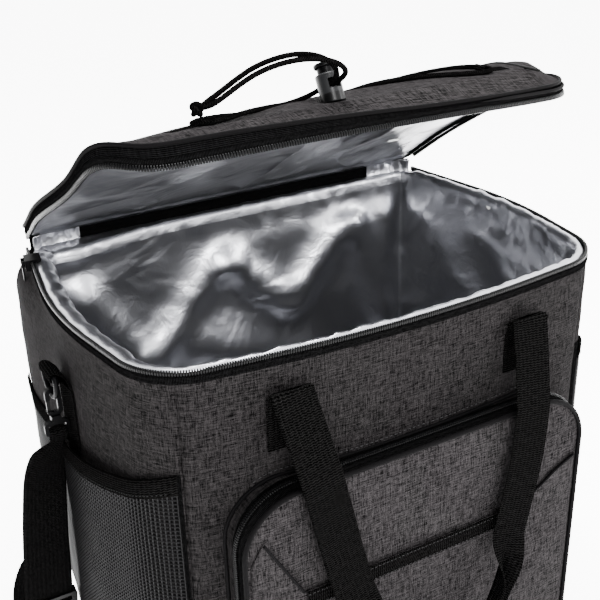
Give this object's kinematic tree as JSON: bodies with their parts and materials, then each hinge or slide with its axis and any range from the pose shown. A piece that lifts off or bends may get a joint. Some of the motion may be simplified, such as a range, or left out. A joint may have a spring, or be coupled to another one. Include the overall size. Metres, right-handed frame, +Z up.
{
  "type": "insulated cooler bag",
  "caption": "Soft insulated box bag with a zipped hinged lid, front zip pocket, mesh side pockets, webbing handles and a clip-on shoulder strap.",
  "frame": {"origin": "centre of the base's flat underside, midway between the bag's side walls and between its back wall and front corners", "axes": "+Z up, the front pocket faces -Y, +X is to the right when looking at the front"},
  "size_m": [0.497, 0.405, 0.5106],
  "materials": {
    "shell_fabric": "charcoal melange woven polyester",
    "face_fabric": "charcoal melange woven polyester, slightly lighter",
    "foam": "closed-cell polyethylene foam",
    "lining": "silver coated film with a soft sheen",
    "zip_tape": "black woven tape",
    "zip_coil": "black nylon coil",
    "piping": "black bound cord edge",
    "webbing": "black ribbed webbing",
    "mesh": "black open square mesh",
    "black_metal": "black lacquered die cast metal",
    "black_plastic": "black moulded plastic, satin",
    "elastic_cord": "black braided elastic cord",
    "grey_plastic": "silver grey moulded plastic",
    "spring_steel": "bright spring wire",
    "slider_metal": "black lacquered metal"
  },
  "bodies": {
    "bag_body": {"base_panel": "shell_fabric", "front_panel": "shell_fabric", "back_panel": "shell_fabric", "left_side_panel": "shell_fabric", "right_side_panel": "shell_fabric", "base_foam": "foam", "front_foam": "foam", "back_foam": "foam", "left_foam": "foam", "right_foam": "foam", "liner": "lining", "liner_collar": "lining", "main_zip_lower_tape": "zip_tape", "main_zip_lower_coil": "zip_coil", "hinge_strip": "zip_tape", "front_pocket_gusset": "shell_fabric", "front_pocket_panel": "face_fabric", "front_pocket_piping": "piping", "pocket_zip_tape": "zip_tape", "pocket_zip_coil": "zip_coil", "slip_pocket_panel": "face_fabric", "slip_pocket_webbing": "webbing", "left_mesh_pocket": "mesh", "left_mesh_hem": "webbing", "right_mesh_pocket": "mesh", "right_mesh_hem": "webbing", "front_handle_tabs": "webbing", "back_handle_tabs": "webbing", "left_strap_tab": "webbing", "left_d_ring": "black_metal", "right_strap_tab": "webbing", "right_d_ring": "black_metal"},
    "lid": {"lid_edge_band": "face_fabric", "lid_lining": "lining", "lid_foam": "foam", "lid_top_panel": "face_fabric", "lid_piping": "piping", "main_zip_upper_tape": "zip_tape", "main_zip_upper_coil": "zip_coil", "bungee_cord": "elastic_cord", "bungee_loops": "webbing", "bungee_tail_left": "elastic_cord", "bungee_tail_right": "elastic_cord", "bungee_knot": "elastic_cord", "cord_lock_barrel": "grey_plastic", "cord_lock_spring": "spring_steel"},
    "front_handle": {"front_handle": "webbing"},
    "back_handle": {"back_handle": "webbing"},
    "shoulder_strap": {"shoulder_strap": "webbing", "left_snap_hook": "black_metal", "right_snap_hook": "black_metal", "strap_adjuster": "black_plastic"},
    "left_hook_gate": {"left_hook_gate": "black_plastic"},
    "right_hook_gate": {"right_hook_gate": "black_plastic"},
    "main_zip_slider": {"main_zip_slider": "slider_metal"},
    "main_zip_pull": {"main_zip_pull": "slider_metal"},
    "pocket_zip_slider": {"pocket_zip_slider": "slider_metal"},
    "pocket_zip_pull": {"pocket_zip_pull": "slider_metal"},
    "cord_lock_plunger": {"cord_lock_plunger": "black_plastic"}
  },
  "joints": [
    {"name": "lid_hinge", "type": "hinge", "parent": "bag_body", "child": "lid", "pos_m": [0, 0.127, 0.35], "axis": [-1, 0, 0], "range_deg": [-27, 75]},
    {"name": "front_handle_swing", "type": "hinge", "parent": "bag_body", "child": "front_handle", "pos_m": [0, -0.146, 0.316], "axis": [-1, 0, 0], "range_deg": [0, 155]},
    {"name": "back_handle_swing", "type": "hinge", "parent": "bag_body", "child": "back_handle", "pos_m": [0, 0.134, 0.316], "axis": [1, 0, 0], "range_deg": [0, 130]},
    {"name": "strap_swing", "type": "hinge", "parent": "bag_body", "child": "shoulder_strap", "pos_m": [0, -0.005, 0.297], "axis": [1, 0, 0], "range_deg": [0, 60]},
    {"name": "left_hook_gate_hinge", "type": "hinge", "parent": "shoulder_strap", "child": "left_hook_gate", "pos_m": [-0.212, -0.005, 0.2684], "axis": [0, 1, 0], "range_deg": [0, 28], "stiffness_Nm_per_rad": 0.02, "springref_deg": -17.19},
    {"name": "right_hook_gate_hinge", "type": "hinge", "parent": "shoulder_strap", "child": "right_hook_gate", "pos_m": [0.212, -0.005, 0.2684], "axis": [0, -1, 0], "range_deg": [0, 28], "stiffness_Nm_per_rad": 0.02, "springref_deg": -17.19},
    {"name": "main_zip_travel", "type": "slide", "parent": "bag_body", "child": "main_zip_slider", "axis": [-0.1487, -0.9889, 0], "range_m": [0, 0.04]},
    {"name": "main_zip_pull_hinge", "type": "hinge", "parent": "main_zip_slider", "child": "main_zip_pull", "pos_m": [-0.19268, 0.09412, 0.3424], "axis": [0.1487, 0.9889, 0], "range_deg": [0, 120]},
    {"name": "pocket_zip_travel", "type": "slide", "parent": "bag_body", "child": "pocket_zip_slider", "axis": [0, 0, 1], "range_m": [0, 0.075]},
    {"name": "pocket_zip_pull_hinge", "type": "hinge", "parent": "pocket_zip_slider", "child": "pocket_zip_pull", "pos_m": [0.147, -0.151, 0.122], "axis": [0, -1, 0], "range_deg": [0, 120]},
    {"name": "cord_lock_press", "type": "slide", "parent": "lid", "child": "cord_lock_plunger", "axis": [0, -0.454, -0.891], "range_m": [0, 0.003], "stiffness_N_per_m": 300, "springref_m": -0.004, "deforming": ["cord_lock_spring"]}
  ]
}
